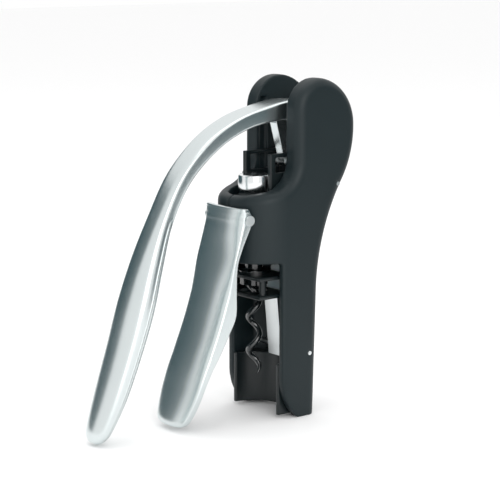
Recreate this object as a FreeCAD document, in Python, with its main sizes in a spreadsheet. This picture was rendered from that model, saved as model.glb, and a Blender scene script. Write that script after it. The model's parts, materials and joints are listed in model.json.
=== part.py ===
import FreeCAD, Part
import Sketcher
import math
import os
import re
from FreeCAD import Placement, Rotation, Vector

# Compact upright lever corkscrew, in millimetres.
# The origin is on the worm's axis at floor level, -Y is the front with the lever, +Z is up.

doc = FreeCAD.newDocument("lever_corkscrew")
sheet = doc.addObject("Spreadsheet::Sheet", "sizes")

# Each row is a size that can be set by itself: its name, its value and what it is.
SIZES = [
    ("head_top", 18, "top of the heads, above the lever axle"),
    ("half_width_low", 21.2, "half width of the body at the floor"),
    ("half_width_top", 20.6, "half width of the body at the top of its heads"),
    ("trough_half", 17, "half width inside the cheeks"),
    ("head_gap_half", 11, "half of the gap between the two heads"),
    ("head_front", 10, "front edge of the heads"),
    ("head_crown", 28, "place of the head's highest point"),
    ("head_back", 46, "rearmost point of the heads"),
    ("head_back_level", 3.5, "rearmost point of the heads, below the lever axle"),
    ("shoulder_back", 38.7, "back of the body where the nape starts"),
    ("shoulder_level", 30.1, "start of the nape, below the lever axle"),
    ("waist_back", 23, "back of the body at the waist"),
    ("waist_level", 60, "height of the waist"),
    ("heel_back", 20.6, "back of the heels"),
    ("heel_front", 9.6, "front of the heels"),
    ("toe_low", 19, "height where the cheeks' front edge starts to curve back to the heel"),
    ("cheek_front", 0.8, "front edge of the cheeks beside the window"),
    ("back_wall", 4.6, "wall at the back"),
    ("slope_wall", 2, "extra wall under the nape's floor"),
    ("nape_rise", 6, "rise of the floor between the heads towards the back"),
    ("inner_bevel", 5, "bevel of the trough's rear corners"),
    ("edge_round", 4.6, "rounding of the outer edges"),
    ("window_top", 13.5, "top of the window, below the carriage's ledge"),
    ("collar_centre", 4.9, "centre of the collar's outer round"),
    ("collar_back_level", 3.9, "collar's rim at its sides, above the carriage's block"),
    ("collar_back", -1, "where the sweep meets the collar's rim"),
    ("collar_slope", 0.2, "drop of the collar's rim towards the front, per millimetre"),
    ("floor_spare", 8, "stock below the floor that is cut away after rounding"),
    ("overcut", 1, "how far a cut reaches past the face it leaves through"),
    ("heel_relief", 2, "gap below the body between the heels"),
    ("heel_width", 6, "width of each heel"),
    ("bore_radius", 11.5, "bore that the carriage slides in"),
    ("ledge_radius", 9.5, "bore below the ledge"),
    ("running_fit", 0.05, "radial clearance of every shaft in its hole"),
    ("slide_gap", 0.3, "clearance beside every sliding or swinging piece"),
    ("axle_y", 31, "lever axle, from the worm's axis"),
    ("axle_z", 140.5, "height of the lever axle"),
    ("axle_radius", 3, "radius of the lever axle"),
    ("axle_half", 15.6, "half length of the lever axle"),
    ("spacer_radius", 5.2, "outer radius of the axle spacers"),
    ("pin_radius", 1, "radius of the two body pins"),
    ("upper_pin_y", 34.2, "upper body pin"),
    ("upper_pin_z", 31.4, "upper body pin, below the lever axle"),
    ("lower_pin_y", 17, "lower body pin"),
    ("lower_pin_z", 30, "height of the lower body pin"),
    ("pin_inset", 0.15, "how far a body pin's end lies inside the cheek"),
    ("guide_low", 1.5, "bottom of the neck guide"),
    ("guide_high", 26, "top of the neck guide"),
    ("guide_front", 1, "front of the neck guide"),
    ("neck_radius", 15, "radius of the neck guide's trough"),
    ("plate_low", 16.6, "underside of the nut carrier, below the window's top"),
    ("plate_gap", 7, "gap between the nut carrier's two plates"),
    ("plate_thick", 1.7, "thickness of each plate"),
    ("plate_front", -10, "front of the plates"),
    ("plate_back", 9, "back of the plates"),
    ("post_radius", 1.6, "radius of the posts between the plates"),
    ("post_x", 13.5, "posts, from the middle"),
    ("post_front", -6, "front posts"),
    ("post_back", 7.2, "rear posts"),
    ("nut_radius", 6.5, "radius of the worm nut"),
    ("nut_drop", 4.1, "how far the nut hangs below the upper plate"),
    ("nut_flange", 8, "radius of the nut's flange"),
    ("nut_flange_thick", 1.2, "thickness of the nut's flange"),
    ("nut_clearance", 0.25, "clearance of the worm's wire in the nut"),
    ("worm_tip", 70.4, "worm's tip, below the carriage"),
    ("worm_pitch", 16.4, "rise of one turn of the worm"),
    ("worm_mean", 2.6, "radius of the worm's centre line"),
    ("worm_wire", 1.4, "radius of the worm's wire"),
    ("worm_turns", 3.1, "turns of the worm"),
    ("worm_point_turns", 0.25, "turns of the worm's tapered point"),
    ("worm_point_wire", 0.3, "radius of the worm's wire at its very tip"),
    ("ferrule_radius", 4.2, "radius of the ferrule at the worm's top"),
    ("ferrule_length", 6, "length of the ferrule"),
    ("ferrule_grip", 0.6, "how far the ferrule reaches down over the worm's last turn"),
    ("shank_radius", 2.3, "radius of the worm's shank"),
    ("shoulder_radius", 4, "radius of the shoulder below the carriage"),
    ("shoulder_length", 6, "length of the shoulder"),
    ("carriage_low", 14, "height of the carriage's block"),
    ("carriage_high", 15, "top of the carriage's block, below the crank pin"),
    ("carriage_back", 16, "back of the carriage's block"),
    ("lug_depth", 1.7, "how far the carriage's lugs reach into the grooves"),
    ("lug_front", 13, "front of the lugs"),
    ("lug_wide", 4, "width of the lugs"),
    ("groove_top", 2, "spare length of the grooves above the raised carriage"),
    ("ear_inner", 8, "inner face of the carriage's ears"),
    ("ear_thick", 2.4, "thickness of the ears"),
    ("ear_front", 1.5, "front of the ears"),
    ("ear_wall", 1.7, "wall behind the slot"),
    ("ear_top", 1.7, "wall above the slots"),
    ("slot_half", 3.6, "half height of the slots"),
    ("crank_pin_y", 12, "crank pin, in front of the lever axle"),
    ("crank_pin_z", 21.5, "crank pin, below the lever axle"),
    ("crank_pin_radius", 1.5, "radius of the crank pin"),
    ("crank_pin_half", 10.6, "half length of the crank pin"),
    ("crank_thick", 5, "thickness of the crank arm"),
    ("crank_wide", 6, "width of the crank arm"),
    ("crank_foot_front", 19.5, "front of the crank arm's foot, in front of the lever axle"),
    ("crank_foot_back", 7.5, "back of the crank arm's foot, in front of the lever axle"),
    ("crank_foot_low", 3, "underside of the crank arm's foot, below the lever axle"),
    ("crank_foot_high", 4.5, "top of the crank arm's foot, above the lever axle"),
    ("crank_slot_spare", 4, "depth of the lever's slot below the crank arm's foot"),
    ("crank_heel", 2, "rise of the crank arm's underside towards its back"),
    ("rivet_radius", 1.2, "radius of the crank rivets"),
    ("rivet_y", 16, "front crank rivet, in front of the lever axle"),
    ("rivet_step", 6, "spacing of the crank rivets"),
    ("rivet_z", 1.5, "crank rivets, above the lever axle"),
    ("ring_radius", 2.4, "outer radius of the crank pin rings"),
    ("ring_thick", 1, "thickness of the crank pin rings"),
    ("cap_radius", 7.5, "radius of the spindle cap"),
    ("cap_top", 4.6, "top of the spindle cap, below the crank pin"),
    ("cap_wall", 1.9, "wall of the spindle cap"),
    ("cap_round", 0.7, "rounding of the spindle cap's top edge"),
    ("washer_thick", 1, "thickness of the thrust washer"),
    ("spindle_radius", 4.5, "radius of the spindle head"),
    ("spindle_thick", 4, "thickness of the spindle head"),
    ("bumper_thick", 1.7, "thickness of the carriage bumper"),
    ("leaf_wide", 9.5, "width of the latch spring"),
    ("leaf_thick", 0.8, "thickness of the latch spring"),
    ("leaf_foot", 13, "front of the latch spring's foot"),
    ("leaf_bow", 10.3, "foremost point of the latch spring"),
    ("leaf_bow_level", 25.2, "foremost point of the latch spring, below that bend"),
    ("leaf_bend_level", 6.3, "where the latch spring leaves the wall, below its top"),
    ("leaf_top", 2, "top of the latch spring, below the carriage's ledge"),
    ("leaf_rivet_radius", 1.2, "radius of the latch rivets"),
    ("leaf_rivet_head", 2.2, "radius of the latch rivets' heads"),
    ("leaf_rivet_low", 3, "latch rivets, below the latch spring's top"),
    ("leaf_rivet_step", 5, "spacing of the latch rivets, side by side"),
    ("hinge_y", -14.6, "clamp hinge, from the worm's axis"),
    ("hinge_z", 12.4, "clamp hinge, below the collar's rim"),
    ("hinge_radius", 1.5, "radius of the clamp hinge pin"),
    ("hinge_boss", 2.8, "radius of the hinge's bosses and ears"),
    ("hinge_head", 2.4, "radius of the hinge pin's heads"),
    ("hinge_head_thick", 0.9, "thickness of the hinge pin's heads"),
    ("boss_half", 8.8, "half length of the body's hinge boss"),
    ("coil_radius", 2.6, "radius of the clamp spring's centre line"),
    ("coil_wire", 0.4, "radius of the clamp spring's wire"),
    ("coil_pitch", 1.3, "rise of one turn of the clamp spring"),
    ("coil_turns", 2, "turns of the clamp spring"),
    ("clamp_half", 14.4, "half width of the clamp handle"),
    ("clamp_side", 1.5, "side walls of the clamp handle"),
    ("clamp_wall", 1.8, "front wall of the clamp handle"),
    ("clamp_round", 4.5, "rounding of the clamp handle's front edges"),
    ("clamp_top", 5.5, "top of the clamp handle, above its hinge"),
    ("clamp_top_front", -18.9, "front of the clamp handle at its top"),
    ("clamp_belly_front", -35, "front of the clamp handle at its belly"),
    ("clamp_belly_level", 44, "height of the belly"),
    ("clamp_upper_radius", 240, "bow of the upper front"),
    ("clamp_tip_front", -51.4, "front of the clamp handle at its tip"),
    ("clamp_tip_level", 4.5, "height where the tip rounds under"),
    ("clamp_tip_radius", 4, "rounding under the tip"),
    ("clamp_tip_half", 10.5, "half width of the clamp handle at its tip"),
    ("clamp_taper_level", 27, "height where the clamp handle starts to narrow"),
    ("clamp_floor", 20, "lower end of the clamp handle's hollow"),
    ("clamp_rear_y_1", -46.8, "clamp handle's rear edge at its tip"),
    ("clamp_rear_z_1", 1.6, "height of that point"),
    ("clamp_rear_y_2", -41.6, "second point of the rear edge"),
    ("clamp_rear_z_2", 14, "height of that point"),
    ("clamp_rear_y_3", -38.8, "third point of the rear edge"),
    ("clamp_rear_z_3", 24, "height of that point"),
    ("clamp_rear_y_4", -30.5, "fourth point of the rear edge"),
    ("clamp_rear_z_4", 35, "height of that point"),
    ("clamp_rear_y_5", -21.1, "rear edge beside the jaw"),
    ("clamp_rear_z_5", 52, "height of that point"),
    ("clamp_rear_y_6", -21.3, "rear edge above the jaw"),
    ("clamp_rear_z_6", 20.5, "that point, below the hinge"),
    ("clamp_rear_y_7", -17.8, "rear edge where the ear starts"),
    ("clamp_rear_z_7", 12.5, "that point, below the hinge"),
    ("jaw_low", 36, "bottom of the clamp jaw"),
    ("jaw_high", 60, "top of the clamp jaw"),
    ("jaw_hollow", 15, "radius of the hollow that takes the neck"),
    ("jaw_front_low", 2.4, "how far the jaw's front leans out to its bottom"),
    ("jaw_front_high", 1.6, "how far the jaw's front clears the handle's bow at its top"),
    ("lever_boss_radius", 8, "radius of the lever's boss"),
    ("seam_shift", 2.2, "seam of the lever's back plate behind its centre line"),
]

# Lever stations from the axle to the tip: place, lean of the section, width, thickness and corner.
# The arch is measured from the axle, the grip from the worm's axis and the floor.
ARCH = [
    (-2, 1.1, 88, 15.4, 11.0, 1.6),
    (-13, 3.1, 92, 15.2, 9.4, 1.6),
    (-27, 1.9, 99, 14.8, 7.7, 1.6),
    (-43.5, -2.5, 111, 14.2, 6.9, 1.6),
    (-59.1, -11.2, 125, 13.6, 6.9, 1.8),
    (-74.2, -24.9, 140, 13.2, 6.9, 2.2),
]
GRIP = [
    (-54.2, 98.0, 154, 13.9, 7.8, 3.0),
    (-61.6, 79.6, 160, 17.6, 11.2, 4.6),
    (-68.0, 60.6, 161, 20.8, 13.0, 5.8),
    (-74.6, 41.6, 160, 20.4, 12.2, 5.5),
    (-82.4, 21.6, 158, 17.2, 10.4, 4.6),
    (-89.2, 7.2, 153, 13.4, 8.2, 3.7),
    (-91.6, 2.4, 152, 9.6, 5.6, 2.6),
    (-92.7, 0.1, 152, 4.6, 2.8, 1.3),
]
STATIONS = ARCH + GRIP
STATION_WORDS = ("y", "z", "lean", "wide", "thick", "corner")

for count, station in enumerate(STATIONS, start=1):
    for word, value in zip(STATION_WORDS, station):
        SIZES.append((f"lever_{word}_{count}", value, f"lever station {count}, {word}"))

for row, (alias, value, note) in enumerate(SIZES, start=1):
    sheet.set(f"A{row}", note)
    sheet.set(f"B{row}", str(value))
    sheet.setAlias(f"B{row}", alias)
doc.recompute()
ALIASES = {alias for alias, _, _ in SIZES}

# Places that follow from the sizes. The head, the carriage and the window all hang from the lever axle.
PLACES = {
    "heads_top": "axle_z + head_top",
    "heads_back_level": "axle_z - head_back_level",
    "nape_level": "axle_z - shoulder_level",
    "upper_pin_level": "axle_z - upper_pin_z",
    "crank_y": "axle_y - crank_pin_y",
    "crank_z": "axle_z - crank_pin_z",
    "crank_length": "sqrt(crank_pin_y^2 + crank_pin_z^2)",
    "foot_front": "axle_y - crank_foot_front",
    "foot_back": "axle_y - crank_foot_back",
    "foot_low": "axle_z - crank_foot_low",
    "foot_high": "axle_z + crank_foot_high",
    "foot_rivet_y": "axle_y - rivet_y",
    "foot_rivet_z": "axle_z + rivet_z",
    "block_top": "crank_z - carriage_high",
    "block_low": "block_top - carriage_low",
    "ears_top": "crank_z + slot_half + ear_top",
    "ears_back": "crank_y + crank_pin_radius + slide_gap + ear_wall",
    "slot_front": "axle_y - crank_length - crank_pin_radius - slide_gap",
    "cap_level": "crank_z - cap_top",
    "ledge": "block_low - slide_gap - bumper_thick",
    "grooves_top": "block_top + 2 * crank_pin_z + groove_top",
    "rim": "block_top + collar_back_level",
    "window": "ledge - window_top",
    "wall_face": "waist_back - back_wall",
    "leaf_level": "ledge - leaf_top",
    "leaf_bend": "leaf_level - leaf_bend_level",
    "leaf_bow_z": "leaf_bend - leaf_bow_level",
    "leaf_rivet_z": "leaf_level - leaf_rivet_low",
    "lower_plate": "window - plate_low",
    "upper_plate": "lower_plate + plate_thick + plate_gap",
    "plate_half": "trough_half - slide_gap",
    "worm_level": "block_low - worm_tip",
    "hinge_level": "rim - hinge_z",
    "hinge_half": "clamp_half + slide_gap",
    "clamp_level": "hinge_level + clamp_top",
    "clamp_rear_6": "hinge_level - clamp_rear_z_6",
    "clamp_rear_7": "hinge_level - clamp_rear_z_7",
    "tip_side_level": "clamp_tip_level + clamp_tip_half / 2",
    "nape_inner": "shoulder_back - back_wall - slope_wall",
    "lean": "(half_width_low - half_width_top) / heads_top",
    "plan_half": "half_width_low + lean * floor_spare",
    "front_end": "collar_centre - half_width_low - floor_spare",
    "back_end": "head_back + 2 * floor_spare",
    "lever_half": "lever_wide_1 / 2",
    "rivet_half": "lever_wide_2 / 2",
    "spacer": "head_gap_half - lever_half - slide_gap",
    "block_half": "head_gap_half - slide_gap",
    "block_round": "bore_radius - slide_gap",
    "block_front": "-sqrt(block_round^2 - block_half^2)",
    "inner_front": "clamp_belly_front + clamp_wall + slide_gap",
    "front_chord": "(clamp_top_front - clamp_belly_front) / (clamp_level - clamp_belly_level)",
    "front_slope": "(clamp_tip_front - clamp_belly_front) / (clamp_belly_level - clamp_tip_level)",
    "floor_front": "clamp_belly_front + clamp_wall + (clamp_belly_level - clamp_floor) * front_slope",
    "rear_slope": "(clamp_rear_y_5 - clamp_rear_y_4) / (clamp_rear_z_5 - clamp_rear_z_4)",
}


def spelled_out(match):
    word = match.group()
    if word in PLACES:
        return "(" + cell(PLACES[word]) + ")"
    return "sizes." + word if word in ALIASES else word


def cell(text):
    """Write each place out in sizes and point each size at its cell."""
    return re.sub(r"[a-z_][a-z_0-9]*", spelled_out, text)


def number(text):
    return float(sheet.evalExpression(cell(text)))


def bind(item, prop, text):
    item.setExpression(prop, cell(text))


# Sketches and their features

def add_sketch(body, name, role, offset=None):
    sketch = body.newObject("Sketcher::SketchObject", name)
    plane = next(item for item in body.Origin.OriginFeatures if item.Role == role)
    sketch.AttachmentSupport = [(plane, "")]
    sketch.MapMode = "FlatFace"
    if offset:
        bind(sketch, "AttachmentOffset.Base.z", offset)
    return sketch


def fix(sketch, kind, index, end, text):
    row = sketch.addConstraint(Sketcher.Constraint(kind, -1, 1, index, end, number(text)))
    bind(sketch, f"Constraints[{row}]", text)


def fix_radius(sketch, index, text):
    row = sketch.addConstraint(Sketcher.Constraint("Radius", index, number(text)))
    bind(sketch, f"Constraints[{row}]", text)


def outline(sketch, steps):
    """Close an outline through the steps.

    A step holds across and up. A radius and a turn make it the end of an arc. A turn alone makes an arc that
    leaves the piece before it smoothly, and "on" does the same for a line. A "~" before up marks a first guess
    for a height that the smooth joints settle."""
    points = [Vector(number(step[0]), number(step[1].lstrip("~")), 0) for step in steps]
    direction = points[-1] - points[-2]
    pieces = []
    for place, step in enumerate(steps):
        start, finish = points[place - 1], points[place]
        chord = finish - start
        if len(step) == 2 or step[2] == "on":
            pieces.append((sketch.addGeometry(Part.LineSegment(start, finish)), 1, 2))
            direction = chord
        else:
            if len(step) == 4:
                radius = number(step[2])
            else:
                radius = chord.Length / 2 / math.sin(direction.getAngle(chord))
            left = Vector(-chord.y, chord.x, 0).normalize()
            turn = 1 if step[-1] == "left" else -1
            centre = (start + finish) / 2 + left * turn * math.sqrt(radius ** 2 - (chord.Length / 2) ** 2)
            middle = centre - left * turn * radius
            pair = (start, finish) if turn > 0 else (finish, start)
            index = sketch.addGeometry(Part.ArcOfCircle(pair[0], middle, pair[1]))
            pieces.append((index, 1, 2) if turn > 0 else (index, 2, 1))
            direction = Vector(centre.y - finish.y, finish.x - centre.x, 0) * turn
            if len(step) == 4:
                fix_radius(sketch, index, step[2])
    for place, (step, (index, first, last)) in enumerate(zip(steps, pieces)):
        before, _, before_last = pieces[place - 1]
        joint = "Tangent" if len(step) == 3 else "Coincident"
        sketch.addConstraint(Sketcher.Constraint(joint, before, before_last, index, first))
        fix(sketch, "DistanceX", index, last, step[0])
        if not step[1].startswith("~"):
            fix(sketch, "DistanceY", index, last, step[1])


def circle(sketch, across, up, radius):
    centre = Vector(number(across), number(up), 0)
    index = sketch.addGeometry(Part.Circle(centre, Vector(0, 0, 1), number(radius)))
    fix(sketch, "DistanceX", index, 3, across)
    fix(sketch, "DistanceY", index, 3, up)
    fix_radius(sketch, index, radius)


def rectangle(sketch, left, low, right, high):
    outline(sketch, [(left, low), (right, low), (right, high), (left, high)])


def pad(body, name, sketch, length, side="One side", backwards=False):
    feature = body.newObject("PartDesign::Pad", name)
    feature.Profile = sketch
    feature.SideType = side
    feature.Reversed = backwards
    bind(feature, "Length", length)
    return feature


def pocket(body, name, sketch, length=None, side="One side", backwards=False):
    feature = body.newObject("PartDesign::Pocket", name)
    feature.Profile = sketch
    feature.SideType = side
    feature.Reversed = backwards
    if length:
        bind(feature, "Length", length)
    else:
        feature.Type = "ThroughAll"
    return feature


# Plain solids

TURNS = {
    "X": Rotation(Vector(0, 1, 0), 90),
    "Y": Rotation(Vector(1, 0, 0), -90),
    "Z": Rotation(),
}


def place(item, x, y, z):
    bind(item, "Placement.Base.x", x)
    bind(item, "Placement.Base.y", y)
    bind(item, "Placement.Base.z", z)


def cylinder(name, radius, length, x, y, z, along="Z"):
    item = doc.addObject("Part::Cylinder", name)
    bind(item, "Radius", radius)
    bind(item, "Height", length)
    item.Placement = Placement(Vector(), TURNS[along])
    place(item, x, y, z)
    return item


def box(name, length, width, height, x, y, z):
    item = doc.addObject("Part::Box", name)
    bind(item, "Length", length)
    bind(item, "Width", width)
    bind(item, "Height", height)
    place(item, x, y, z)
    return item


def cut(name, base, tool):
    item = doc.addObject("Part::Cut", name)
    item.Base = base
    item.Tool = tool
    return item


def fuse(name, *shapes):
    item = doc.addObject("Part::MultiFuse", name)
    item.Shapes = list(shapes)
    item.Refine = True
    return item


def group(name, *shapes):
    item = doc.addObject("Part::Compound", name)
    item.Links = list(shapes)
    return item


def ring(name, outer, inner, length, x, y, z, along="Z"):
    rim = cylinder(name + "_rim", outer, length, x, y, z, along)
    hole = cylinder(name + "_hole", inner, length, x, y, z, along)
    return cut(name, rim, hole)


# Wound wires: each quarter turn of the helix is two arcs that meet tangentially.

def helix_point(radius, pitch, turn):
    angle = 2 * math.pi * turn
    return Vector(radius * math.cos(angle), radius * math.sin(angle), pitch * turn)


def helix_tangent(radius, pitch, turn):
    angle = 2 * math.pi * turn
    return Vector(-radius * math.sin(angle), radius * math.cos(angle), pitch / (2 * math.pi)).normalize()


def arc_between(start, corner, finish):
    weight = math.cos((corner - start).getAngle(finish - corner) / 2)
    middle = (start + corner * (2 * weight) + finish) / (2 + 2 * weight)
    return Part.Arc(start, middle, finish).toShape()


def helix_wire(radius, pitch, first_turn, last_turn, steps_per_turn=4):
    count = max(1, round(abs(last_turn - first_turn) * steps_per_turn))
    edges = []
    for step in range(count):
        turns = [first_turn + (last_turn - first_turn) * (step + k) / count for k in (0, 1)]
        start, finish = (helix_point(radius, pitch, turn) for turn in turns)
        leave, arrive = (helix_tangent(radius, pitch, turn) for turn in turns)
        span = finish - start
        both = leave + arrive
        square = both.dot(both) - 4
        along = span.dot(both)
        reach = (along - math.sqrt(along ** 2 - square * span.dot(span))) / square
        near = start + leave * reach
        far = finish - arrive * reach
        joint = (near + far) / 2
        edges.append(arc_between(start, near, joint))
        edges.append(arc_between(joint, far, finish))
    return Part.Wire(edges)


def helix_tube(radius, pitch, first_turn, last_turn, wire_radius, end_radius=None):
    """One unbroken tube along the helix. With an end radius it swells evenly from one end to the other."""
    tube = Part.BRepOffsetAPI.MakePipeShell(helix_wire(radius, pitch, first_turn, last_turn))
    ends = [(first_turn, wire_radius)]
    if end_radius:
        ends.append((last_turn, end_radius))
    for turn, size in ends:
        centre = helix_point(radius, pitch, turn)
        round_edge = Part.Circle(centre, helix_tangent(radius, pitch, turn), size).toShape()
        tube.add(Part.Wire([round_edge]))
    tube.build()
    tube.makeSolid()
    return tube.shape()


def self_gap(radius, pitch, turns, wire_radius, samples_per_turn=48):
    """Least gap between points of the tube that lie over half a turn apart."""
    count = int(turns * samples_per_turn) + 1
    points = [helix_point(radius, pitch, k / samples_per_turn) for k in range(count)]
    apart = samples_per_turn // 2
    return min((points[j] - points[i]).Length for i in range(len(points))
               for j in range(i + apart, len(points))) - 2 * wire_radius


nodes = []


def node(item, label):
    item.Label = label
    nodes.append(item)
    return item


# Body shells: the right one is drawn, the left one is its mirror image.
# From above the body is round in front and straight at the sides, and it leans in towards the heads.

shell = doc.addObject("PartDesign::Body", "shell_body")
plan = add_sketch(shell, "shell_plan", "XY_Plane", "-floor_spare")
outline(plan, [
    ("-plan_half", "collar_centre"),
    ("0", "collar_centre - plan_half", "plan_half", "left"),
    ("plan_half", "collar_centre", "plan_half", "left"),
    ("plan_half", "back_end"),
    ("-plan_half", "back_end"),
])
block = pad(shell, "shell_block", plan, "floor_spare + heads_top + overcut")
bind(block, "TaperAngle", "-atan(lean)")

side = add_sketch(shell, "shell_side", "YZ_Plane")
rectangle(side, "front_end - overcut", "-2 * floor_spare", "back_end + overcut", "heads_top + 2 * overcut")
outline(side, [
    ("heel_back", "-floor_spare"),
    ("waist_back", "waist_level"),
    ("shoulder_back", "nape_level", "right"),
    ("head_back", "heads_back_level", "left"),
    ("head_crown", "heads_top", "left"),
    ("head_front", "~heads_top - head_crown + head_front", "left"),
    ("head_front", "~rim + 2 * (head_front - collar_back)", "on"),
    ("collar_back", "rim", "right"),
    ("front_end", "rim - collar_slope * (collar_back - front_end)", "on"),
    ("front_end", "window"),
    ("cheek_front", "window"),
    ("cheek_front", "toe_low"),
    ("heel_front", "0", "left"),
    ("heel_front", "-floor_spare"),
])
pocket(shell, "shell_trimmed", side, side="Symmetric")
half = add_sketch(shell, "shell_half_plan", "XY_Plane", "heads_top + 2 * overcut")
rectangle(half, "-2 * half_width_low", "-head_back", "0", "2 * head_back")
trimmed = pocket(shell, "shell_halved", half)
doc.recompute()


def edges_where(feature, test):
    return [f"Edge{index}" for index, edge in enumerate(feature.Shape.Edges, start=1) if test(edge)]


def middle_of(edge):
    return edge.valueAt((edge.FirstParameter + edge.LastParameter) / 2)


NEAR = 0.1  # how close two places lie that count as one


def is_outer(edge):
    """Edges round the outside from the heels over the head to the collar's rim."""
    point = middle_of(edge)
    outside = number("half_width_low") - number("lean") * point.z
    around = Vector(point.x, min(point.y - number("collar_centre"), 0), 0).Length
    if around < outside - NEAR or edge.BoundBox.XMax < NEAR or point.z < 0:
        return False
    on_side_line = edge.BoundBox.YLength < NEAR and abs(point.y - number("collar_centre")) < NEAR
    behind = point.y > number("heel_front + edge_round")
    return not on_side_line and (behind or point.z > number("window + edge_round"))


rounded = shell.newObject("PartDesign::Fillet", "shell_rounded")
rounded.Base = (trimmed, edges_where(trimmed, is_outer))
bind(rounded, "Radius", "edge_round")
doc.recompute()
print("rounded edges", rounded.Base[1], rounded.State)

# The hinge boss grows out of the tube's front.
boss = add_sketch(shell, "shell_boss_round", "YZ_Plane")
circle(boss, "hinge_y", "hinge_level", "hinge_boss")
pad(shell, "shell_boss", boss, "boss_half")

# The trough takes the bottle's neck and is open in front.
trough = add_sketch(shell, "shell_trough_plan", "XY_Plane", "window")
outline(trough, [
    ("0", "front_end"),
    ("trough_half", "front_end"),
    ("trough_half", "wall_face - inner_bevel"),
    ("trough_half - inner_bevel", "wall_face"),
    ("0", "wall_face"),
])
pocket(shell, "shell_trough", trough)

# Behind the bore the body is hollow, and between the heads it is open at the top, front and back.
channel = add_sketch(shell, "shell_channel_side", "YZ_Plane")
outline(channel, [
    ("0", "ledge"),
    ("wall_face", "ledge"),
    ("nape_inner", "nape_level"),
    ("head_back + overcut", "nape_level + nape_rise"),
    ("head_back + overcut", "heads_top + overcut"),
    ("front_end", "heads_top + overcut"),
    ("front_end", "rim + overcut"),
    ("0", "rim + overcut"),
])
pocket(shell, "shell_channel", channel, "head_gap_half", backwards=True)
well = add_sketch(shell, "shell_well_plan", "XY_Plane", "ledge")
rectangle(well, "0", "0", "ledge_radius", "wall_face")
pocket(shell, "shell_well", well, "ledge - window + overcut")
bore = add_sketch(shell, "shell_bore_round", "XY_Plane", "heads_top")
circle(bore, "0", "0", "bore_radius")
pocket(shell, "shell_bore", bore, "heads_top - ledge")
low_bore = add_sketch(shell, "shell_low_bore_round", "XY_Plane", "ledge")
circle(low_bore, "0", "0", "ledge_radius")
pocket(shell, "shell_low_bore", low_bore, "ledge - window + overcut")

# Grooves in the heads guide the carriage's lugs.
groove = add_sketch(shell, "shell_groove_side", "YZ_Plane")
rectangle(groove, "lug_front - slide_gap", "ledge", "lug_front + lug_wide + slide_gap", "grooves_top")
pocket(shell, "shell_groove", groove, "head_gap_half + lug_depth", backwards=True)

# Holes for the axle, the hinge pin and the two body pins, and the gap between the heels.
axle_hole = add_sketch(shell, "shell_axle_round", "YZ_Plane")
circle(axle_hole, "axle_y", "axle_z", "axle_radius")
pocket(shell, "shell_axle_hole", axle_hole, "axle_half", backwards=True)
pin_holes = add_sketch(shell, "shell_pin_rounds", "YZ_Plane")
circle(pin_holes, "hinge_y", "hinge_level", "hinge_radius")
circle(pin_holes, "upper_pin_y", "upper_pin_level", "pin_radius")
circle(pin_holes, "lower_pin_y", "lower_pin_z", "pin_radius")
pocket(shell, "shell_pin_holes", pin_holes, side="Symmetric")
spring_seat = add_sketch(shell, "shell_seat_round", "YZ_Plane", "boss_half")
circle(spring_seat, "hinge_y", "hinge_level", "coil_radius + coil_wire + slide_gap")
pocket(shell, "shell_seat", spring_seat, backwards=True)
soles = add_sketch(shell, "shell_sole_plan", "XY_Plane")
rectangle(soles, "-overcut", "front_end", "2 * half_width_low", "back_end")
pocket(shell, "shell_soles", soles)
relief = add_sketch(shell, "shell_relief_front", "XZ_Plane")
rectangle(relief, "0", "-overcut", "half_width_low - heel_width", "heel_relief")
pocket(shell, "shell_relief", relief, side="Symmetric")

mirror = doc.addObject("Part::Mirroring", "shell_mirror")
mirror.Source = shell
mirror.Normal = Vector(1, 0, 0)
node(shell, "shell_right")
node(mirror, "shell_left")

# Neck guide: a liner in the bottom of the trough.

guide = doc.addObject("PartDesign::Body", "guide_body")
guide_plan = add_sketch(guide, "guide_plan", "XY_Plane", "guide_low")
outline(guide_plan, [
    ("-trough_half", "guide_front"),
    ("trough_half", "guide_front"),
    ("trough_half", "wall_face - inner_bevel"),
    ("trough_half - inner_bevel", "wall_face"),
    ("-trough_half + inner_bevel", "wall_face"),
    ("-trough_half", "wall_face - inner_bevel"),
])
pad(guide, "guide_block", guide_plan, "guide_high - guide_low")
guide_round = add_sketch(guide, "guide_round", "XY_Plane", "guide_high")
circle(guide_round, "0", "0", "neck_radius")
pocket(guide, "guide_trough", guide_round)
node(guide, "neck_guide")

# Body pins: one through the nape and one above the heels.


def body_pin(name, y, z):
    half = f"(half_width_low - lean * {z} - pin_inset)"
    return cylinder(name, "pin_radius", "2 * " + half, "-" + half, y, z, "X")


node(group("body_pin_pair", body_pin("upper_pin", "upper_pin_y", "upper_pin_level"),
           body_pin("lower_pin", "lower_pin_y", "lower_pin_z")), "body_pins")

# Nut carrier: two plates on four posts, with the nut in the upper plate.

carrier = doc.addObject("PartDesign::Body", "carrier_body")
for word in ("lower", "upper"):
    plate = add_sketch(carrier, f"carrier_{word}_plan", "XY_Plane", word + "_plate")
    rectangle(plate, "-plate_half", "plate_front", "plate_half", "plate_back")
    circle(plate, "0", "0", "nut_radius")
    plate_pad = pad(carrier, f"carrier_{word}_plate", plate, "plate_thick")
    if word == "lower":
        posts = add_sketch(carrier, "carrier_post_rounds", "XY_Plane", "lower_plate")
        for post_x in ("post_x", "-post_x"):
            for post_y in ("post_front", "post_back"):
                circle(posts, post_x, post_y, "post_radius")
        pad(carrier, "carrier_posts", posts, "2 * plate_thick + plate_gap")
node(carrier, "nut_carrier")

# Worm and its nut: the nut's passage is the worm's own helix with clearance all round.

worm_mean, worm_pitch, worm_wire = (number(name) for name in ("worm_mean", "worm_pitch", "worm_wire"))
worm_tip, worm_turns = number("worm_level"), number("worm_turns")
worm_top = worm_tip + worm_turns * worm_pitch
print("worm's least gap to itself", round(self_gap(worm_mean, worm_pitch, worm_turns, worm_wire), 2))


def pillar(radius, low, high):
    return Part.makeCylinder(radius, high - low, Vector(0, 0, low))


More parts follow.
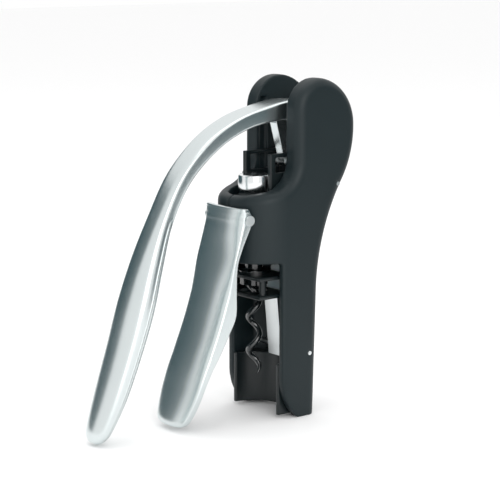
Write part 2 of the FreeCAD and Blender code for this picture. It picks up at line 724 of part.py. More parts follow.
def worm_shape():
    point_end = number("worm_point_turns")
    coil = helix_tube(worm_mean, worm_pitch, point_end, worm_turns, worm_wire)
    point = helix_tube(worm_mean, worm_pitch, 0, point_end, number("worm_point_wire"), worm_wire)
    coil = coil.fuse(point)
    coil.translate(Vector(0, 0, worm_tip))
    shoulder_top = number("block_low - slide_gap")
    shank_top = number("block_top + washer_thick + running_fit + spindle_thick")
    ferrule_low = worm_top - number("ferrule_grip")
    ferrule = pillar(number("ferrule_radius"), ferrule_low, worm_top + number("ferrule_length"))
    shoulder = pillar(number("shoulder_radius"), shoulder_top - number("shoulder_length"), shoulder_top)
    shank = pillar(number("shank_radius"), worm_top, shank_top)
    return coil.multiFuse([ferrule, shoulder, shank]).removeSplitter()


worm = doc.addObject("Part::Feature", "worm_solid")
worm.Shape = worm_shape()
node(worm, "worm")


def nut_shape():
    top = number("upper_plate + plate_thick")
    low = number("upper_plate - nut_drop")
    body = pillar(number("nut_radius"), low, top)
    flange = pillar(number("nut_flange"), top, top + number("nut_flange_thick"))
    margin = 2 * worm_wire
    first = (low - margin - worm_tip) / worm_pitch
    last = (top + number("nut_flange_thick") + margin - worm_tip) / worm_pitch
    passage = helix_tube(worm_mean, worm_pitch, first, last, worm_wire + number("nut_clearance"))
    passage.translate(Vector(0, 0, worm_tip))
    return body.fuse(flange).removeSplitter().cut(passage)


nut = doc.addObject("Part::Feature", "nut_solid")
nut.Shape = nut_shape()
node(nut, "worm_nut")

# Latch spring: a bowed leaf behind the worm, riveted to the back wall.

leaf = doc.addObject("PartDesign::Body", "leaf_body")
leaf_side = add_sketch(leaf, "leaf_side", "YZ_Plane")
outline(leaf_side, [
    ("wall_face", "guide_high"),
    ("wall_face", "guide_high + leaf_thick"),
    ("leaf_foot + leaf_thick", "guide_high + leaf_thick"),
    ("leaf_bow + leaf_thick", "leaf_bow_z"),
    ("wall_face", "leaf_bend"),
    ("wall_face", "leaf_level"),
    ("wall_face - leaf_thick", "leaf_level"),
    ("wall_face - leaf_thick", "leaf_bend"),
    ("leaf_bow", "leaf_bow_z"),
    ("leaf_foot", "guide_high"),
])
pad(leaf, "leaf_strip", leaf_side, "leaf_wide", side="Symmetric")
leaf_holes = add_sketch(leaf, "leaf_holes", "XZ_Plane")
circle(leaf_holes, "-leaf_rivet_step / 2", "leaf_rivet_z", "leaf_rivet_radius")
circle(leaf_holes, "leaf_rivet_step / 2", "leaf_rivet_z", "leaf_rivet_radius")
pocket(leaf, "leaf_drilled", leaf_holes, side="Symmetric")
node(leaf, "latch_spring")


def leaf_rivet(name, across):
    shank = cylinder(name + "_shank", "leaf_rivet_radius", "leaf_thick",
                     across, "wall_face - leaf_thick", "leaf_rivet_z", "Y")
    head = cylinder(name + "_head", "leaf_rivet_head", "leaf_thick",
                    across, "wall_face - 2 * leaf_thick", "leaf_rivet_z", "Y")
    return fuse(name, shank, head)


node(group("leaf_rivet_pair", leaf_rivet("right_leaf_rivet", "leaf_rivet_step / 2"),
           leaf_rivet("left_leaf_rivet", "-leaf_rivet_step / 2")), "latch_rivets")

# Lever axle with a spacer on each side of the lever's boss.

node(cylinder("axle", "axle_radius", "2 * axle_half", "-axle_half", "axle_y", "axle_z", "X"), "lever_axle")
node(group("spacer_pair",
           ring("right_spacer", "spacer_radius", "axle_radius", "spacer",
                "head_gap_half - spacer", "axle_y", "axle_z", "X"),
           ring("left_spacer", "spacer_radius", "axle_radius", "spacer",
                "-head_gap_half", "axle_y", "axle_z", "X")), "axle_spacers")

# Bumper on the bore's ledge.

node(ring("bumper", "bore_radius", "ledge_radius", "bumper_thick", "0", "0", "ledge"), "carriage_bumper")

# Lever: a cast arm that narrows, then widens into the grip.

lever = doc.addObject("PartDesign::Body", "lever_body")


def station_place(count):
    y, z = f"lever_y_{count}", f"lever_z_{count}"
    return (f"(axle_y + {y})", f"(axle_z + {z})") if count <= len(ARCH) else (y, z)


def lever_station(count):
    y, z = station_place(count)
    sketch = add_sketch(lever, f"lever_station_{count}", "XY_Plane")
    sketch.AttachmentOffset = Placement(Vector(), Rotation(Vector(1, 0, 0), number(f"lever_lean_{count}")))
    bind(sketch, "AttachmentOffset.Base.y", y)
    bind(sketch, "AttachmentOffset.Base.z", z)
    bind(sketch, "AttachmentOffset.Rotation.Angle", f"lever_lean_{count}")
    wide, thick, corner = f"lever_wide_{count} / 2", f"lever_thick_{count} / 2", f"lever_corner_{count}"
    steps = []
    corners = (("1", "-1", "up"), ("1", "1", "across"), ("-1", "1", "up"), ("-1", "-1", "across"))
    for across, up, first in corners:
        inset_up = (f"{across} * {wide}", f"{up} * ({thick} - {corner})")
        inset_across = (f"{across} * ({wide} - {corner})", f"{up} * {thick}")
        pair = [inset_across, inset_up] if first == "up" else [inset_up, inset_across]
        steps.append(pair[0])
        steps.append(pair[1] + (corner, "left"))
    outline(sketch, steps)
    return sketch


stations = [lever_station(count) for count in range(1, len(STATIONS) + 1)]
casting = lever.newObject("PartDesign::AdditiveLoft", "lever_casting")
casting.Profile = stations[0]
casting.Sections = stations[1:]
casting.Ruled = False
lever_boss = add_sketch(lever, "lever_boss_round", "YZ_Plane")
circle(lever_boss, "axle_y", "axle_z", "lever_boss_radius")
pad(lever, "lever_boss", lever_boss, "lever_wide_1", side="Symmetric")
lever_bore = add_sketch(lever, "lever_bore_round", "YZ_Plane")
circle(lever_bore, "axle_y", "axle_z", "axle_radius + running_fit")
circle(lever_bore, "foot_rivet_y", "foot_rivet_z", "rivet_radius")
circle(lever_bore, "foot_rivet_y + rivet_step", "foot_rivet_z", "rivet_radius")
pocket(lever, "lever_bores", lever_bore, side="Symmetric")
crank_slot = add_sketch(lever, "lever_slot_side", "YZ_Plane")
rectangle(crank_slot, "foot_front", "foot_low - crank_slot_spare", "foot_back", "foot_high")
pocket(lever, "lever_slot", crank_slot, "crank_thick", side="Symmetric")
tip_foot = add_sketch(lever, "lever_foot_plan", "XY_Plane")
rectangle(tip_foot, "-half_width_low", "3 * clamp_tip_front", "half_width_low", "0")
pocket(lever, "lever_foot", tip_foot)

# The grip's back plate lies behind a seam that follows the lever's middle line.
LAST = len(STATIONS)
SEAM_FIRST = len(ARCH) + 2
seam = doc.addObject("PartDesign::Body", "seam_body")
seam_side = add_sketch(seam, "seam_side", "YZ_Plane")
seam_steps = [(f"lever_y_{count} + seam_shift", f"lever_z_{count}") for count in range(SEAM_FIRST, LAST - 1)]
outline(seam_side, [
    (f"lever_y_{SEAM_FIRST - 1} + lever_thick_{SEAM_FIRST - 1}", f"lever_z_{SEAM_FIRST - 1} + seam_shift"),
] + seam_steps + [
    (f"lever_y_{LAST - 2} + lever_thick_{LAST - 2}", f"lever_z_{LAST - 2} - seam_shift"),
    ("clamp_belly_front", f"lever_z_{SEAM_FIRST + 1}"),
    ("clamp_belly_front", f"lever_z_{SEAM_FIRST - 1}"),
])
pad(seam, "seam_block", seam_side, "2 * half_width_low", side="Symmetric")
back_plate = doc.addObject("Part::Common", "lever_back_plate")
back_plate.Base = lever
back_plate.Tool = seam
node(cut("lever_front", lever, seam), "lever_arm")
node(back_plate, "lever_back")

# Crank arm: its foot is riveted into the lever and its end carries the crank pin.

crank = doc.addObject("PartDesign::Body", "crank_body")
crank_side = add_sketch(crank, "crank_side", "YZ_Plane")
outline(crank_side, [
    ("crank_y - ring_radius", "crank_z"),
    ("crank_y", "crank_z - ring_radius", "ring_radius", "left"),
    ("crank_y + ring_radius", "crank_z", "ring_radius", "left"),
    ("foot_front + crank_wide", "foot_low"),
    ("foot_back", "foot_low + crank_heel"),
    ("foot_back", "foot_high"),
    ("foot_front", "foot_high"),
    ("foot_front", "foot_low"),
])
pad(crank, "crank_plate", crank_side, "crank_thick", side="Symmetric")
crank_holes = add_sketch(crank, "crank_holes", "YZ_Plane")
circle(crank_holes, "crank_y", "crank_z", "crank_pin_radius")
circle(crank_holes, "foot_rivet_y", "foot_rivet_z", "rivet_radius")
circle(crank_holes, "foot_rivet_y + rivet_step", "foot_rivet_z", "rivet_radius")
pocket(crank, "crank_drilled", crank_holes, side="Symmetric")
node(crank, "crank_arm")
node(cylinder("crank_pin_rod", "crank_pin_radius", "2 * crank_pin_half", "-crank_pin_half",
              "crank_y", "crank_z", "X"), "crank_pin")
node(group("crank_ring_pair",
           ring("right_ring", "ring_radius", "crank_pin_radius", "ring_thick",
                "crank_thick / 2", "crank_y", "crank_z", "X"),
           ring("left_ring", "ring_radius", "crank_pin_radius", "ring_thick",
                "-crank_thick / 2 - ring_thick", "crank_y", "crank_z", "X")), "crank_pin_rings")
node(group("crank_rivet_pair",
           cylinder("front_rivet", "rivet_radius", "2 * rivet_half", "-rivet_half",
                    "foot_rivet_y", "foot_rivet_z", "X"),
           cylinder("rear_rivet", "rivet_radius", "2 * rivet_half", "-rivet_half",
                    "foot_rivet_y + rivet_step", "foot_rivet_z", "X")), "crank_rivets")

# Carriage: a block in the bore, two slotted ears that the crank pin lifts, and two lugs in the grooves.

carriage = doc.addObject("PartDesign::Body", "carriage_body")
carriage_plan = add_sketch(carriage, "carriage_plan", "XY_Plane", "block_low")
outline(carriage_plan, [
    ("-block_half", "block_front"),
    ("block_half", "block_front", "block_round", "left"),
    ("block_half", "carriage_back"),
    ("-block_half", "carriage_back"),
])
pad(carriage, "carriage_block", carriage_plan, "carriage_low")
lugs = add_sketch(carriage, "carriage_lug_side", "YZ_Plane")
rectangle(lugs, "lug_front", "block_low", "lug_front + lug_wide", "block_top")
pad(carriage, "carriage_lugs", lugs, "2 * (head_gap_half + lug_depth - slide_gap)", side="Symmetric")
ears = add_sketch(carriage, "carriage_ear_side", "YZ_Plane")
outline(ears, [
    ("ear_front", "block_top - ear_thick"),
    ("carriage_back", "block_top - ear_thick"),
    ("ears_back", "block_top + ear_wall"),
    ("ears_back", "ears_top"),
    ("ear_front", "ears_top"),
])
outline(ears, [
    ("slot_front", "crank_z - slot_half"),
    ("ears_back - ear_wall", "crank_z - slot_half"),
    ("ears_back - ear_wall", "crank_z + slot_half"),
    ("slot_front", "crank_z + slot_half"),
])
pad(carriage, "carriage_ears", ears, "2 * (ear_inner + ear_thick)", side="Symmetric")
between = add_sketch(carriage, "carriage_between", "YZ_Plane")
rectangle(between, "ear_front - overcut", "block_top", "ears_back + overcut", "ears_top + overcut")
pocket(carriage, "carriage_gap", between, "2 * ear_inner", side="Symmetric")
shaft_hole = add_sketch(carriage, "carriage_hole_round", "XY_Plane", "block_top")
circle(shaft_hole, "0", "0", "shank_radius + running_fit")
pocket(carriage, "carriage_hole", shaft_hole)
node(carriage, "carriage")

# Spindle cap over the worm's head, which turns on a thrust washer.

cap_outside = cylinder("cap_outside", "cap_radius", "cap_level - block_top", "0", "0", "block_top")
cap_inside = cylinder("cap_inside", "cap_radius - cap_wall", "cap_level - block_top - cap_wall",
                      "0", "0", "block_top")
cap = cut("cap_cup", cap_outside, cap_inside)
doc.recompute()
cap_edge = [index for index, edge in enumerate(cap.Shape.Edges, start=1)
            if edge.BoundBox.ZMin > number("cap_level") - NEAR][0]
cap_rounded = doc.addObject("Part::Fillet", "cap_rounded")
cap_rounded.Base = cap
cap_rounded.Edges = [(cap_edge, number("cap_round"), number("cap_round"))]
node(cap_rounded, "spindle_cap")
node(ring("washer", "cap_radius - cap_wall - running_fit", "shank_radius + running_fit", "washer_thick",
          "0", "0", "block_top"), "thrust_washer")
node(ring("spindle", "spindle_radius", "shank_radius", "spindle_thick",
          "0", "0", "block_top + washer_thick + running_fit"), "spindle_head")

# Clamp handle: a curved channel on the hinge pin.

clamp = doc.addObject("PartDesign::Body", "clamp_body")
clamp_side = add_sketch(clamp, "clamp_side", "YZ_Plane")
outline(clamp_side, [
    ("clamp_top_front", "clamp_level"),
    ("clamp_belly_front", "clamp_belly_level", "clamp_upper_radius", "right"),
    ("clamp_tip_front", "clamp_tip_level", "left"),
    ("clamp_tip_front - overcut", "-floor_spare"),
    ("0", "-floor_spare"),
    ("0", "clamp_level"),
])
clamp_block = pad(clamp, "clamp_block", clamp_side, "2 * clamp_half", side="Symmetric")
doc.recompute()


def is_clamp_front(edge):
    point = middle_of(edge)
    if abs(abs(point.x) - number("clamp_half")) > NEAR or edge.BoundBox.YLength < NEAR:
        return False
    return point.y < number("clamp_top_front") and point.z > number("clamp_tip_level")


clamp_rounded = clamp.newObject("PartDesign::Fillet", "clamp_rounded")
clamp_rounded.Base = (clamp_block, edges_where(clamp_block, is_clamp_front))
bind(clamp_rounded, "Radius", "clamp_round")
doc.recompute()
print("clamp edges", clamp_rounded.Base[1], clamp_rounded.State)
clamp_rear = add_sketch(clamp, "clamp_rear_side", "YZ_Plane")
outline(clamp_rear, [
    ("clamp_tip_front", "clamp_tip_level"),
    ("clamp_rear_y_1", "clamp_rear_z_1", "clamp_tip_radius", "left"),
    ("clamp_rear_y_2", "clamp_rear_z_2"),
    ("clamp_rear_y_3", "clamp_rear_z_3"),
    ("clamp_rear_y_4", "clamp_rear_z_4"),
    ("clamp_rear_y_5", "clamp_rear_z_5"),
    ("clamp_rear_y_6", "clamp_rear_6"),
    ("clamp_rear_y_7", "clamp_rear_7"),
    ("hinge_y + hinge_boss", "hinge_level"),
    ("hinge_y", "hinge_level + hinge_boss", "hinge_boss", "left"),
    ("clamp_top_front + clamp_wall + slide_gap", "clamp_level"),
    ("clamp_top_front + clamp_wall + slide_gap", "clamp_level + overcut"),
    ("overcut", "clamp_level + overcut"),
    ("overcut", "-2 * floor_spare"),
    ("2 * clamp_tip_front", "-2 * floor_spare"),
    ("2 * clamp_tip_front", "clamp_tip_level"),
])
pocket(clamp, "clamp_trimmed", clamp_rear, side="Symmetric")
hollow = add_sketch(clamp, "clamp_hollow_side", "YZ_Plane")
outline(hollow, [
    ("clamp_top_front + clamp_wall", "clamp_level + overcut"),
    ("clamp_belly_front + clamp_wall", "clamp_belly_level", "clamp_upper_radius + clamp_wall", "right"),
    ("floor_front", "clamp_floor"),
    ("0", "clamp_floor"),
    ("0", "clamp_level + overcut"),
])
pocket(clamp, "clamp_hollow", hollow, "2 * (clamp_half - clamp_side)", side="Symmetric")
taper = add_sketch(clamp, "clamp_taper_front", "XZ_Plane")
outline(taper, [
    ("clamp_half", "clamp_taper_level"),
    ("clamp_tip_half", "tip_side_level"),
    ("0", "tip_side_level - clamp_tip_half", "clamp_tip_half", "right"),
    ("-clamp_tip_half", "tip_side_level", "clamp_tip_half", "right"),
    ("-clamp_half", "clamp_taper_level"),
    ("-clamp_half - overcut", "clamp_taper_level"),
    ("-clamp_half - overcut", "-clamp_half"),
    ("clamp_half + overcut", "-clamp_half"),
    ("clamp_half + overcut", "clamp_taper_level"),
])
pocket(clamp, "clamp_tapered", taper, side="Symmetric")
hinge_hole = add_sketch(clamp, "clamp_hinge_round", "YZ_Plane")
circle(hinge_hole, "hinge_y", "hinge_level", "hinge_radius + running_fit")
pocket(clamp, "clamp_hinge_hole", hinge_hole, side="Symmetric")
node(clamp, "clamp_handle")

# Clamp jaw: a pad between the handle's side walls, hollowed for the bottle's neck.

jaw = doc.addObject("PartDesign::Body", "jaw_body")
jaw_side = add_sketch(jaw, "jaw_side", "YZ_Plane")
outline(jaw_side, [
    ("inner_front", "clamp_belly_level"),
    ("inner_front - jaw_front_low", "jaw_low"),
    ("clamp_rear_y_4 + rear_slope * (jaw_low - clamp_rear_z_4) - clamp_side", "jaw_low"),
    ("clamp_rear_y_5 - clamp_side", "clamp_rear_z_5"),
    ("clamp_rear_y_5 - clamp_side", "jaw_high"),
    ("inner_front + front_chord * (jaw_high - clamp_belly_level) + jaw_front_high", "jaw_high"),
])
pad(jaw, "jaw_block", jaw_side, "2 * (clamp_half - clamp_side)", side="Symmetric")
jaw_hollow = add_sketch(jaw, "jaw_hollow_round", "XY_Plane", "jaw_high")
circle(jaw_hollow, "0", "clamp_rear_y_5 - 2 * clamp_side + jaw_hollow", "jaw_hollow")
pocket(jaw, "jaw_hollowed", jaw_hollow)
node(jaw, "clamp_jaw")

# Hinge pin with a head at each end, and a coil spring round it on each side of the boss.

hinge_rod = cylinder("hinge_rod", "hinge_radius", "2 * hinge_half",
                     "-hinge_half", "hinge_y", "hinge_level", "X")
hinge_heads = [cylinder(f"hinge_head_{word}", "hinge_head", "hinge_head_thick",
                        at, "hinge_y", "hinge_level", "X")
               for word, at in (("right", "hinge_half"), ("left", "-hinge_half - hinge_head_thick"))]
node(fuse("hinge_pin", hinge_rod, *hinge_heads), "clamp_hinge_pin")

coil_turns = number("coil_turns")
coil_sizes = [number(name) for name in ("coil_radius", "coil_pitch")]
print("clamp spring's least gap to itself",
      round(self_gap(*coil_sizes, coil_turns, number("coil_wire")), 2))
coils = []
for word, start in (("right", number("boss_half + slide_gap + coil_wire")),
                    ("left", -number("boss_half + slide_gap + coil_wire + coil_turns * coil_pitch"))):
    coil = doc.addObject("Part::Feature", f"clamp_coil_{word}")
    coil.Shape = helix_tube(*coil_sizes, 0, coil_turns, number("coil_wire"))
    coil.Placement = Placement(Vector(start, number("hinge_y"), number("hinge_level")), TURNS["X"])
    coils.append(coil)
node(group("clamp_coils", *coils), "clamp_springs")

doc.recompute()

# Nothing is written unless every feature worked and every cut removed material.

failed = [item.Name for item in doc.Objects if "Invalid" in item.State or "Error" in item.State]
for item in doc.Objects:
    if item.TypeId == "PartDesign::Pocket" and item.BaseFeature:
        if item.Shape.Volume > item.BaseFeature.Shape.Volume - NEAR:
            failed.append(item.Name + " cuts nothing")
for item in nodes:
    if item.Shape.isNull() or not item.Shape.isValid():
        failed.append(item.Label + " has no valid shape")
if failed:
    raise RuntimeError("features to repair: " + ", ".join(failed))

os.makedirs("parts", exist_ok=True)
for item in nodes:
    item.Shape.exportStep(f"parts/{item.Label}.step")
    print(item.Label, len(item.Shape.Solids), round(item.Shape.Volume, 1))
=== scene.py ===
import bpy, bmesh, json, math
from mathutils import Vector, Matrix


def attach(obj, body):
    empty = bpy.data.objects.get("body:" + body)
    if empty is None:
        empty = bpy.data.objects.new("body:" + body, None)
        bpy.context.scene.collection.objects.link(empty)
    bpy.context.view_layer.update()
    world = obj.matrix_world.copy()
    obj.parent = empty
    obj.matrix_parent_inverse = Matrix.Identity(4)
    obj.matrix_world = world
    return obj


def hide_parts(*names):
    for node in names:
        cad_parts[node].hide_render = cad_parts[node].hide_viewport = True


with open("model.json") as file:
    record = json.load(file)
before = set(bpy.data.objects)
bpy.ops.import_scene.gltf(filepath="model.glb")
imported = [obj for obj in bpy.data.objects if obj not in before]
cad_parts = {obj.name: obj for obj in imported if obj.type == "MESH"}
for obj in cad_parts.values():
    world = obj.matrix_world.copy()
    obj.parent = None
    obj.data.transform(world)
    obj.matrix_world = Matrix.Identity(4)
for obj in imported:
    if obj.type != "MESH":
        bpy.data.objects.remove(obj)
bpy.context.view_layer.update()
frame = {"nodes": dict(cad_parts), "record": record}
mm = 0.001
print("stage: frame loaded")

# Colours and nodes


def hexColour(text):
    channels = [int(text[i:i + 2], 16) / 255 for i in (0, 2, 4)]
    return [c / 12.92 if c <= 0.04045 else ((c + 0.055) / 1.055) ** 2.4 for c in channels] + [1]


# Each of the links names an input of the new node, with _ for a space.
def addNode(tree, kind, settings=None, **links):
    node = tree.nodes.new(kind)
    for name, value in (settings or {}).items():
        if hasattr(node, name):
            setattr(node, name, value)
        else:
            node.inputs[name].default_value = value
    for name, source in links.items():
        tree.links.new(source, node.inputs[name.replace("_", " ")])
    return node


# Each of the shader settings names an input, with _ for a space.
def newMaterial(name, **shader):
    material = bpy.data.materials.new(name)
    material.use_nodes = True
    tree = material.node_tree
    principled = tree.nodes["Principled BSDF"]
    for key, value in shader.items():
        principled.inputs[key.replace("_", " ")].default_value = value
    place = addNode(tree, "ShaderNodeTexCoord").outputs["Object"]
    return material, tree, principled, place


def perMillimetre(size):
    return 1 / (size * mm)


def grainBump(tree, principled, place, size, height):
    noise = addNode(tree, "ShaderNodeTexNoise", {"Scale": perMillimetre(size), "Detail": 2}, Vector=place)
    bump = addNode(tree, "ShaderNodeBump", {"Strength": 1, "Distance": height}, Height=noise.outputs["Fac"])
    tree.links.new(bump.outputs["Normal"], principled.inputs["Normal"])


def variedRoughness(tree, principled, place, size, low, high):
    noise = addNode(tree, "ShaderNodeTexNoise", {"Scale": perMillimetre(size), "Detail": 4}, Vector=place)
    spread = addNode(tree, "ShaderNodeMapRange", {"To Min": low, "To Max": high}, Value=noise.outputs["Fac"])
    tree.links.new(spread.outputs["Result"], principled.inputs["Roughness"])


def variedColour(tree, principled, place, size, first, second):
    noise = addNode(tree, "ShaderNodeTexNoise", {"Scale": perMillimetre(size), "Detail": 4}, Vector=place)
    mix = addNode(tree, "ShaderNodeMix", {"data_type": "RGBA"})
    mix.inputs[6].default_value = hexColour(first)
    mix.inputs[7].default_value = hexColour(second)
    tree.links.new(noise.outputs["Fac"], mix.inputs[0])
    tree.links.new(mix.outputs[2], principled.inputs["Base Color"])


# Satin chrome plate over a zinc casting: blasted before plating, so reflections are wide and soft.
satinChrome, tree, principled, place = newMaterial("satinChrome", Metallic=1.0)
variedColour(tree, principled, place, 30, "D2DADB", "DCE2E2")
variedRoughness(tree, principled, place, 60, 0.25, 0.28)

# Chrome plate on a turned cup: bright, softened a little by the fine turning.
polishedChrome, tree, principled, place = newMaterial("polishedChrome", Metallic=1.0)
variedColour(tree, principled, place, 12, "E4E7E8", "EDEFEF")
variedRoughness(tree, principled, place, 5, 0.15, 0.20)

# Soft-touch lacquer over moulded plastic: matte, slightly velvety, with a fine even grain.
softTouchBlack, tree, principled, place = newMaterial("softTouchBlack", IOR=1.5, Specular_IOR_Level=0.3)
variedColour(tree, principled, place, 40, "131E21", "182427")
variedRoughness(tree, principled, place, 14, 0.42, 0.5)
grainBump(tree, principled, place, 0.5, 0.00001)

# Moulded nylon: smooth from the tool, a little gloss.
mouldedNylon, tree, principled, place = newMaterial("mouldedNylon", IOR=1.53, Specular_IOR_Level=0.4)
variedColour(tree, principled, place, 18, "0D1517", "131C1E")
variedRoughness(tree, principled, place, 8, 0.26, 0.36)
grainBump(tree, principled, place, 1.2, 0.00001)

# Non-stick coating sprayed on the steel worm: near black, some gloss, faint orange peel.
coatedSteel, tree, principled, place = newMaterial("coatedSteel", IOR=1.5, Specular_IOR_Level=1.0)
variedColour(tree, principled, place, 3, "0E1415", "161D1F")
variedRoughness(tree, principled, place, 2, 0.1, 0.16)
grainBump(tree, principled, place, 0.8, 0.000006)

# Cold-rolled stainless strip and turned pins: bright, with fine rolling lines.
rolledStainless, tree, principled, place = newMaterial("rolledStainless", Metallic=1.0)
variedColour(tree, principled, place, 6, "DCE1E2", "E6EAEA")
variedRoughness(tree, principled, place, 3, 0.3, 0.4)
stretched = addNode(tree, "ShaderNodeMapping", {"Scale": (1, 1, 0.03)}, Vector=place)
grainBump(tree, principled, stretched.outputs["Vector"], 0.3, 0.000002)

# Moulded nitrile rubber: dull black.
mouldedRubber, tree, principled, place = newMaterial("mouldedRubber", IOR=1.5, Specular_IOR_Level=0.3)
variedColour(tree, principled, place, 5, "141718", "1A1D1E")
variedRoughness(tree, principled, place, 4, 0.7, 0.82)
grainBump(tree, principled, place, 0.5, 0.00002)
print("stage: materials")

finishOfSlot = {"satin_chrome": satinChrome, "polished_chrome": polishedChrome,
                "soft_touch_black": softTouchBlack, "smooth_black": mouldedNylon,
                "coated_steel": coatedSteel, "stainless": rolledStainless, "rubber": mouldedRubber}
slotOfNode = {part["node"]: part["material_slot"] for part in frame["record"]["subparts"]}
bodyOfNode = {name: body for body, names in frame["record"]["behaviour"]["bodies"].items() for name in names}
for name, node in frame["nodes"].items():
    node.data.materials.clear()
    node.data.materials.append(finishOfSlot[slotOfNode[name]])
print("stage: CAD nodes dressed")

# Mesh pieces


def finishedPiece(name, build, nodes):
    bmesh.ops.recalc_face_normals(build, faces=build.faces[:])
    mesh = bpy.data.meshes.new(name)
    build.to_mesh(mesh)
    build.free()
    mesh.polygons.foreach_set("use_smooth", [True] * len(mesh.polygons))
    piece = bpy.data.objects.new(name, mesh)
    bpy.context.collection.objects.link(piece)
    mesh.materials.append(finishOfSlot[slotOfNode[nodes[0]]])
    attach(piece, bodyOfNode[nodes[0]])
    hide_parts(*nodes)
    return piece


# A smooth curve through the stations, a few steps from each to the next.
def smoothSteps(stations, steps):
    padded = [stations[0]] + stations + [stations[-1]]
    sections = []
    for a, b, c, d in zip(padded, padded[1:], padded[2:], padded[3:]):
        for step in range(steps):
            t = step / steps
            sections.append([0.5 * (2 * q + (r - p) * t + (2 * p - 5 * q + 4 * r - s) * t * t
                                    + (3 * q - p - 3 * r + s) * t ** 3) for p, q, r, s in zip(a, b, c, d)])
    return sections + [list(stations[-1])]


# Closed rings bridged one to the next, with both ends filled.
def addLoft(build, sections, count, ringPoint):
    rings = []
    for place, section in enumerate(sections):
        atEnd = place in (0, len(sections) - 1)
        ring = bmesh.ops.create_circle(build, segments=count, radius=1, cap_ends=atEnd)["verts"]
        edges = list({edge for vert in ring for edge in vert.link_edges})
        for index, vert in enumerate(ring):
            vert.co = ringPoint(section, 2 * math.pi * index / count)
        if rings:
            bmesh.ops.bridge_loops(build, edges=rings[-1][1] + edges)
        rings.append((ring, edges))
    return [ring for ring, _ in rings]


def signedPower(value, power):
    return math.copysign(abs(value) ** power, value)


# The lever, from the axle to its tip. Each station gives y, z, the section's lean, width, thickness and
# squareness, in mm and degrees.
lever = {
    "stations": [
        (31.0, 141.3, 88, 15.2, 11.0, 7), (18.0, 143.6, 92, 15.2, 9.4, 8),
        (4.0, 142.4, 99, 14.8, 7.7, 9), (-12.7, 138.4, 111, 14.2, 6.9, 9),
        (-28.6, 130.0, 125, 13.6, 6.9, 7), (-43.7, 116.0, 140, 13.2, 6.9, 4.6),
        (-54.2, 98.0, 154, 13.9, 7.8, 3.3), (-61.6, 79.6, 160, 17.6, 11.0, 2.7),
        (-68.0, 60.6, 161, 20.7, 12.9, 2.5), (-74.6, 41.6, 160, 20.3, 12.1, 2.5),
        (-82.4, 21.6, 158, 18.6, 10.8, 2.5), (-88.7, 7.6, 154, 15.0, 8.6, 2.3),
        (-91.2, 3.0, 152, 10.8, 5.6, 2.2), (-92.3, 1.4, 152, 5.4, 2.8, 2.0)],
    "steps": 6, "ringCount": 64,
    "axle": (31.0, 140.5), "bossRadius": 7.9, "bossWidth": 15.2, "bossRound": 0.8, "bossEdge": 60,
    "seamFrom": 6, "seamTo": 12, "seamTurns": (0.978, 0.955), "seamWide": 0.16, "seamDeep": 0.3}


def leverPoint(section, angle):
    y, z, lean, wide, thick, square = section
    across = wide / 2 * signedPower(math.cos(angle), 2 / square)
    outward = thick / 2 * signedPower(math.sin(angle), 2 / square)
    tilt = math.radians(lean)
    return Vector((across, y + outward * math.cos(tilt), z + outward * math.sin(tilt))) * mm


build = bmesh.new()
sections = smoothSteps(lever["stations"], lever["steps"])
rings = addLoft(build, sections, lever["ringCount"], leverPoint)
first, last = lever["seamFrom"] * lever["steps"], lever["seamTo"] * lever["steps"]
seamEdges = []
for turn in lever["seamTurns"]:
    for side in (turn, 1.5 - turn):
        index = round(side * lever["ringCount"]) % lever["ringCount"]
        line = [ring[index] for ring in rings[first:last]]
        seamEdges += [build.edges.get(pair) for pair in zip(line, line[1:])]
build.normal_update()
groove = bmesh.ops.bevel(build, geom=seamEdges, offset=lever["seamWide"] * mm, offset_type="OFFSET",
                         segments=2, profile=0.5, affect="EDGES", material=-1, clamp_overlap=True)
grooveFaces = set(groove["faces"])
for vert in {vert for face in grooveFaces for vert in face.verts}:
    if all(face in grooveFaces for face in vert.link_faces):
        vert.co -= vert.normal * lever["seamDeep"] * mm
boss = bmesh.ops.create_cone(build, cap_ends=True, segments=lever["ringCount"],
                             radius1=lever["bossRadius"] * mm,
                             radius2=lever["bossRadius"] * mm, depth=lever["bossWidth"] * mm,
                             matrix=Matrix.Translation(Vector((0, *lever["axle"])) * mm)
                             @ Matrix.Rotation(math.pi / 2, 4, "Y"))["verts"]
bossRims = [edge for edge in {edge for vert in boss for edge in vert.link_edges}
            if edge.calc_face_angle(0) > math.radians(lever["bossEdge"])]
bmesh.ops.bevel(build, geom=bossRims, offset=lever["bossRound"] * mm, segments=4, profile=0.5,
                affect="EDGES", material=-1)
finishedPiece("leverArm", build, ["lever_arm", "lever_back"])
print("stage: lever")

# The clamp handle from its top to its tip. Each station gives the height, front, rear and half width, in mm.
clamp = {
    "stations": [
        (101.0, -18.5, -15.6, 13.9), (100.7, -18.8, -14.6, 14.2), (99.8, -19.0, -13.8, 14.4),
        (98.8, -19.2, -13.2, 14.4), (97.9, -19.4, -12.7, 14.4), (96.8, -19.6, -12.1, 14.4),
        (95.5, -19.85, -11.8, 14.4),
        (93.6, -20.1, -12.4, 14.4), (90.0, -20.9, -14.2, 14.4), (83.0, -22.3, -17.9, 14.4),
        (75.0, -24.4, -20.9, 14.4), (64.0, -27.8, -21.4, 14.4), (52.0, -31.9, -21.3, 14.4),
        (44.0, -35.0, -25.3, 14.4), (35.0, -38.9, -30.7, 14.4), (27.0, -42.3, -36.0, 14.3),
        (20.0, -45.0, -39.6, 14.0), (14.0, -47.4, -42.0, 13.4), (8.0, -49.8, -44.6, 12.0),
        (4.5, -51.0, -46.2, 10.5), (2.7, -51.0, -46.8, 8.2), (1.9, -50.2, -47.6, 5.0)],
    "steps": 4, "ringCount": 72, "roundDepth": 4.5, "roundShare": 0.6, "crown": 0.8, "crownShare": 0.25,
    "frontSquare": 3.4, "rearSquare": 16,
    "sideWall": 1.5, "frontWall": 1.8, "openRear": 6, "openTop": 1, "hollowStations": 17, "sharpAngle": 40}


